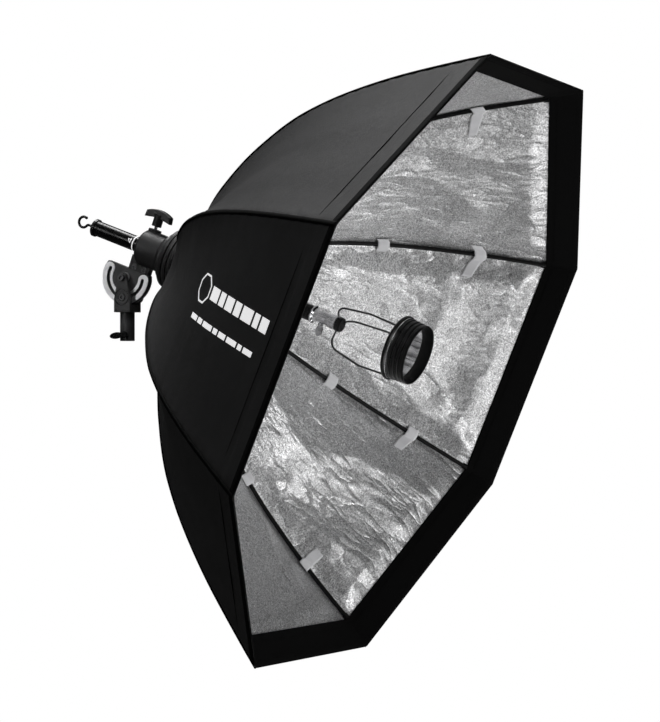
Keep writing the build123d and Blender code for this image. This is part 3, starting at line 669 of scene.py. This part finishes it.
def make_hem():
    columns = [hem_line(k, j / ACROSS_STEPS) for k in range(SIDES) for j in range(ACROSS_STEPS)]
    rows = len(columns[0])
    verts = [columns[j][i] for i in range(rows) for j in range(len(columns))]
    uvs = [(j * 0.0106, i * 0.005) for i in range(rows) for j in range(len(columns))]
    hem = make_object("hem", verts, grid_faces(rows, len(columns), closed=True), uvs)
    thicken(hem, HEM_THICKNESS, 0.0)
    soft_piece(hem, HEM, "softbox", ["front_hem"])


def ellipse(half_across, half_height, lift, count=14):
    """Closed outline of a flattened cord, lift metres outside the seam."""
    outline = []
    for i in range(count):
        angle = 2 * math.pi * i / count
        outline.append((half_across * math.cos(angle), half_height * math.sin(angle) - lift))
    return outline


BINDING_STEPS = 150
BINDING_INSET = 0.0026
BINDING_WOBBLE = 0.0004


def make_binding():
    """Bound edge over each seam, a little uneven along its length."""
    stations = []
    for k in range(SIDES):
        frames = []
        for i in range(BINDING_STEPS + 1):
            s = 0.0005 + (SHEET_END + 0.006) * i / BINDING_STEPS
            wobble = noise.noise(Vector((s * 40, k * 5.0, 0))) * BINDING_WOBBLE
            shift = Matrix.Translation((wobble, 0, BINDING_INSET + saddle(0.0, s)))
            frames.append(seam_frame(k, s) @ shift)
        stations.append(frames)
    binding = swept("seam_binding", stations, ellipse(0.0042, 0.0016, 0.0014))
    soft_piece(fix_normals(binding), BINDING, "softbox", ["seam_piping"])


TAB_STATIONS = (0.196, 0.395)
TAB_WIDTH = 0.024
TAB_THICKNESS = 0.0007
TAB_STEPS = 22
TAB_ROWS = 7
# How far the outer loop of each seam reaches over the side before it and the side after it.
TAB_REACH = ((0.042, 0.024), (0.062, 0.012), (0.012, 0.045), (0.040, 0.012),
             (0.012, 0.050), (0.046, 0.012), (0.010, 0.036), (0.050, 0.012))
# How far each of those loops leans along its seam, for each metre across it.
TAB_LEAN = (0.34, 0.22, -0.10, 0.12, 0.06, -0.15, -0.20, 0.10)
SHORT_REACH = (0.014, 0.014)


def tab_point(k, s, x):
    """Place on a loop, x across seam k: over the rod near the seam, and on the lining beyond."""
    width = 2 * half_width(s)
    over = FLEX_ROD_INSET + FLEX_ROD_R + 0.0012 - max(abs(x) - 0.003, 0.0) * 0.34
    near = seam_frame(k, s) @ Vector((x, 0, over))
    side, u = (k, x / width) if x > 0 else (k - 1, 1 + x / width)
    lift = 0.0016 + 0.0012 * math.sin(abs(x) * 120 + k) ** 2
    on_side = side_point(side, u, s, lining_inset(side, u, s) + lift)
    return near.lerp(on_side, band(abs(x), 0.008, 0.017))


def make_tabs():
    """White tape loops that hold the rods to the lining."""
    verts, faces, uvs = [], [], []
    for k in range(SIDES):
        for n, s in enumerate(TAB_STATIONS):
            before, after = SHORT_REACH if n else TAB_REACH[k]
            lean = TAB_LEAN[k] * (0.3 if n else 1.0)
            start = len(verts)
            for i in range(TAB_ROWS):
                for j in range(TAB_STEPS):
                    x = -before + (before + after) * j / (TAB_STEPS - 1)
                    narrow = 1 - 0.22 * band(abs(x), 0.02, 0.06)
                    along = (i / (TAB_ROWS - 1) - 0.5) * TAB_WIDTH * narrow
                    verts.append(tab_point(k, s + along + abs(x) * lean, x))
                    uvs.append((x, along))
            faces += grid_faces(TAB_ROWS, TAB_STEPS, start)
    tabs = fix_normals(make_object("rod_loops", verts, faces, uvs))
    thicken(tabs, TAB_THICKNESS)
    soft_piece(tabs, WHITE_TAPE, "softbox", ["rod_tabs"])


CUFF_STEPS = 240
CUFF_THICKNESS = 0.0009
CUFF_FOLD = 0.0008
CUFF_FOLDS = 46
# Section of the cuff as (radius, forward distance), from the rubber mount out to the cover.
CUFF_OUTLINE = ((0.0604, 0.0262), (0.0612, 0.0250), (0.0628, 0.0252), (0.0640, 0.0270),
                (0.0655, 0.0295), (0.0680, 0.0320), (0.0705, 0.0345), (0.0735, 0.0372))


def make_cuff():
    """Gathered cuff that closes the cover round the rubber mount."""
    verts, uvs = [], []
    for i, (r, z) in enumerate(CUFF_OUTLINE):
        depth = math.sin(math.pi * i / (len(CUFF_OUTLINE) - 1))
        for j in range(CUFF_STEPS):
            angle = 2 * math.pi * j / CUFF_STEPS
            uneven = 0.6 * noise.noise(Vector((angle * 9, i * 0.5, 0)))
            fold = CUFF_FOLD * depth * (math.sin(angle * CUFF_FOLDS) + uneven)
            out = r + fold
            verts.append(SOFT @ Vector((out * math.cos(angle), out * math.sin(angle), z - fold)))
            uvs.append((angle * 0.066, i * 0.003))
    faces = grid_faces(len(CUFF_OUTLINE), CUFF_STEPS, closed=True)
    cuff = make_object("hub_cuff", verts, faces, uvs)
    thicken(cuff, CUFF_THICKNESS)
    soft_piece(cuff, BINDING, "softbox", ["rear_cuff"])


# ------------------------------------------------------------------ printed marks
ROD_R = 0.01475
MARK_LIFTS = (0.000005, 0.00004)
MARK_TURN = 0.30            # radians that the numeral is turned up from the rod's -X side
RING_MARK_AT = -0.0937
RING_MARK_WIDTH = 0.0022
RING_MARK_STEPS = 64
NUMERAL_AT = -0.0968
NUMERAL_HEIGHT = 0.0104
NUMERAL_WIDTH = 0.0080
STEM_AT = 0.0016            # the upright stroke is this far behind the numeral's front end
STROKE = 0.0014
PRINT_SIDE = 3
PRINT_LIFTS = (0.00005, 0.0003)
OCTAGON_AT = Vector((-0.032, 0.317))
OCTAGON_R = 0.0275
OCTAGON_LINE = 0.0034
DASH_GAP = 0.006
# Rows of dashes: place across the side, height, first end along the seam, and the dashes' lengths.
DASH_ROWS = (
    (-0.033, 0.024, 0.283, (0.030, 0.018, 0.026, 0.020, 0.034, 0.016, 0.024)),
    (0.020, 0.0095, 0.332, (0.028, 0.018, 0.036, 0.015, 0.024, 0.032, 0.013, 0.028)),
)


def rod_place(t, arc, lift):
    """Point on the rod, t along it and arc round it from the side that faces -X and a little up."""
    angle = math.pi - MARK_TURN + arc / ROD_R
    r = ROD_R + lift
    return ROD @ Vector((r * math.cos(angle), r * math.sin(angle), t))


def rod_patch(verts, faces, corners, steps):
    """Thin closed patch on the rod between four corners (along, arc), split into steps columns."""
    start = len(verts)
    a, b, c, d = [Vector(corner) for corner in corners]
    for lift in MARK_LIFTS:
        for row in ((a, b), (d, c)):
            for i in range(steps + 1):
                t, arc = row[0].lerp(row[1], i / steps)
                verts.append(rod_place(t, arc, lift))
    n = steps + 1
    low, high = start, start + 2 * n
    for i in range(steps):
        faces.append((low + i, low + n + i, low + n + i + 1, low + i + 1))
        faces.append((high + i, high + i + 1, high + n + i + 1, high + n + i))
        faces.append((low + i, low + i + 1, high + i + 1, high + i))
        faces.append((low + n + i, high + n + i, high + n + i + 1, low + n + i + 1))
    faces.append((low, high, high + n, low + n))
    faces.append((low + steps, low + n + steps, high + n + steps, high + steps))


def numeral_strokes():
    """Strokes of a 4 as pairs of (along, arc) places: the upright, the bar and the slope."""
    left, right = NUMERAL_AT - NUMERAL_WIDTH, NUMERAL_AT
    stem = right - STEM_AT
    top, bar = NUMERAL_HEIGHT / 2, -NUMERAL_HEIGHT / 6
    return (((stem, -top), (stem, top)), ((left, bar), (right, bar)),
            ((left + 0.0004, bar), (stem, top)))


def make_rod_marks():
    """White ring and a numeral that show how far the rod goes in for this size of softbox."""
    verts, faces = [], []
    around = 2 * math.pi * ROD_R
    front = RING_MARK_AT + RING_MARK_WIDTH
    ring = [(RING_MARK_AT, 0), (RING_MARK_AT, around), (front, around), (front, 0)]
    rod_patch(verts, faces, ring, RING_MARK_STEPS)
    for start, end in numeral_strokes():
        a, b = Vector(start), Vector(end)
        along = (b - a).normalized() * STROKE / 2
        side = Vector((-along.y, along.x))
        rod_patch(verts, faces, [a - side, b - side, b + side, a + side], 4)
    marks = fix_normals(make_object("rod_marks", verts, faces, smooth=False))
    fit_material(marks, PRINT)
    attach(marks, "zoom_rod")


def print_patch(verts, faces, uvs, place, rows, columns):
    """Thin closed patch on the cover; place gives (across, along) for two fractions."""
    start = len(verts)
    for lift in PRINT_LIFTS:
        for i in range(rows + 1):
            for j in range(columns + 1):
                across, s = place(i / rows, j / columns)
                u = 0.5 + across / (2 * half_width(s))
                inset = cover_inset(PRINT_SIDE, u, s) - lift
                verts.append(side_point(PRINT_SIDE, u, s, inset))
                uvs.append((across, s))
    n = columns + 1
    count = (rows + 1) * n
    faces += [tuple(reversed(face)) for face in grid_faces(rows + 1, n, start)]
    faces += grid_faces(rows + 1, n, start + count)
    edge = list(range(n))
    edge += [i * n + columns for i in range(1, rows + 1)]
    edge += [rows * n + j for j in range(columns - 1, -1, -1)]
    edge += [i * n for i in range(rows - 1, 0, -1)]
    for a, b in zip(edge, edge[1:] + edge[:1]):
        faces.append((start + a, start + b, start + count + b, start + count + a))


def make_print():
    """Plain white mark on one side: an octagon and two rows of dashes."""
    verts, faces, uvs = [], [], []
    for side in range(SIDES):
        angles = [HALF_SIDE * (2 * side - 1), HALF_SIDE * (2 * side + 1)]
        corners = [Vector((math.cos(a), math.sin(a))) for a in angles]

        def ring(v, w, corners=corners):
            across, along = corners[0].lerp(corners[1], w) * (OCTAGON_R - OCTAGON_LINE * v)
            return OCTAGON_AT.x + across, OCTAGON_AT.y + along
        print_patch(verts, faces, uvs, ring, 2, 4)
    for row_at, height, s, lengths in DASH_ROWS:
        for length in lengths:
            def dash(v, w, s=s, length=length):
                return row_at + (v - 0.5) * height, s - w * length
            print_patch(verts, faces, uvs, dash, 3, 6)
            s -= length + DASH_GAP
    mark = fix_normals(make_object("cover_print", verts, faces, uvs, smooth=False))
    fit_material(mark, PRINT)
    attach(mark, "softbox")


# ------------------------------------------------------------------ stage, light and camera
CAMERA_AT = (-3.9042, -2.3294, -0.0379)
CAMERA_HEADING = 64.03
CAMERA_LENS = 119.0
FLOOR_DROP = 0.20
FLOOR_AT = CAD_BOX[0][2] - FLOOR_DROP
FLOOR_SIZE = 14.0
FLOOR_GREY = 0.10
PAPER_WHITE = (1.0, 1.0, 1.0, 1)
ROOM_GREY = (0.55, 0.55, 0.55, 1)
ROOM_STRENGTH = 0.03


def make_camera():
    data = bpy.data.cameras.new("camera")
    data.lens = CAMERA_LENS
    data.sensor_width = 36.0
    camera = bpy.data.objects.new("camera", data)
    camera.location = CAMERA_AT
    camera.rotation_euler = (math.radians(90), 0, math.radians(-CAMERA_HEADING))
    bpy.context.collection.objects.link(camera)
    bpy.context.scene.camera = camera


def area_light(name, at, target, size, power, size_y=None):
    data = bpy.data.lights.new(name, "AREA")
    data.shape = "RECTANGLE"
    data.size = size
    data.size_y = size_y or size
    data.energy = power
    light = bpy.data.objects.new(name, data)
    light.location = at
    light.rotation_euler = (Vector(target) - Vector(at)).to_track_quat("-Z", "Y").to_euler()
    bpy.context.collection.objects.link(light)
    return light


def backdrop_shader(tree, output_type, dim_type, white_type):
    """Plain white paper where it is seen, and a dim grey for the light it sends back."""
    tree.nodes.clear()
    out = tree.nodes.new(output_type)
    mix = tree.nodes.new("ShaderNodeMixShader")
    seen = tree.nodes.new("ShaderNodeLightPath")
    dim = tree.nodes.new(dim_type)
    white = tree.nodes.new(white_type)
    white.inputs[0].default_value = PAPER_WHITE
    tree.links.new(seen.outputs["Is Camera Ray"], mix.inputs[0])
    tree.links.new(dim.outputs[0], mix.inputs[1])
    tree.links.new(white.outputs[0], mix.inputs[2])
    tree.links.new(mix.outputs[0], out.inputs[0])
    return dim


def make_floor():
    size = FLOOR_SIZE
    low = FLOOR_AT
    corners = [(-size, -size, low), (size, -size, low), (size, size, low), (-size, size, low)]
    floor = make_object("floor", corners, [(0, 1, 2, 3)], smooth=False)
    material = bpy.data.materials.new("floor_paper")
    material.use_nodes = True
    dim = backdrop_shader(material.node_tree, "ShaderNodeOutputMaterial", "ShaderNodeBsdfDiffuse",
                          "ShaderNodeEmission")
    dim.inputs[0].default_value = (FLOOR_GREY, FLOOR_GREY, FLOOR_GREY, 1)
    fit_material(floor, material)


def make_world():
    world = bpy.data.worlds.new("studio")
    bpy.context.scene.world = world
    world.use_nodes = True
    dim = backdrop_shader(world.node_tree, "ShaderNodeOutputWorld", "ShaderNodeBackground",
                          "ShaderNodeBackground")
    dim.inputs[0].default_value = ROOM_GREY
    dim.inputs[1].default_value = ROOM_STRENGTH


def make_lights():
    area_light("top_light", (0.85, 0.3, 3.3), (0, -0.1, 0.2), 1.4, 120)
    area_light("side_fill", (-2.1, -0.9, 2.7), (0, -0.1, 0.1), 1.0, 25)
    area_light("front_light", (-1.1, -4.2, 0.1), (0, -0.2, 0.05), 1.2, 47)
    low = area_light("low_light", (0.25, -1.05, FLOOR_AT + 0.03), (0.25, -0.85, 0.3), 1.5, 10.5, 0.8)
    low.visible_camera = False
    bracket = area_light("bracket_light", (-2.6, 1.3, 0.9), (0, 0.09, 0.12), 0.9, 0.36)
    bracket.data.spread = math.radians(16)


# ------------------------------------------------------------------ build
bpy.context.scene.view_settings.view_transform = "Standard"
dress_cad()
make_camera()
make_floor()
make_world()
make_lights()
make_cover()
make_lining()
make_hem()
make_binding()
make_tabs()
make_cuff()
make_rod_marks()
make_print()
